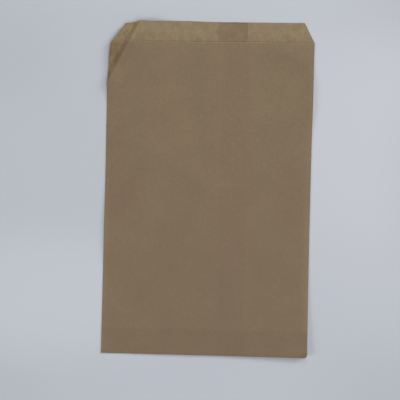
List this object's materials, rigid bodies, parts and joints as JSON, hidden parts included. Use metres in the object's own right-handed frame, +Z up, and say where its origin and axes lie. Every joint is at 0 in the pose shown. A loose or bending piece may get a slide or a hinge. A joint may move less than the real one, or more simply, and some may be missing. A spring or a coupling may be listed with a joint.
{
  "type": "flat paper bag",
  "caption": "Flat kraft paper bag, folded and glued from one sheet, with a longer back lip at its mouth, for food or small goods.",
  "frame": {"origin": "under the middle of the bag, on the surface that it lies on", "axes": "+Y along the bag from the folded foot to the open mouth, +X to the right as seen from the front ply, +Z up through the front ply"},
  "size_m": [0.2, 0.3244, 0.0066],
  "materials": {
    "kraft_paper": "uncoated brown kraft, fine fibres, matt"
  },
  "bodies": {
    "root": {"paper_bag": "kraft_paper"}
  },
  "joints": []
}
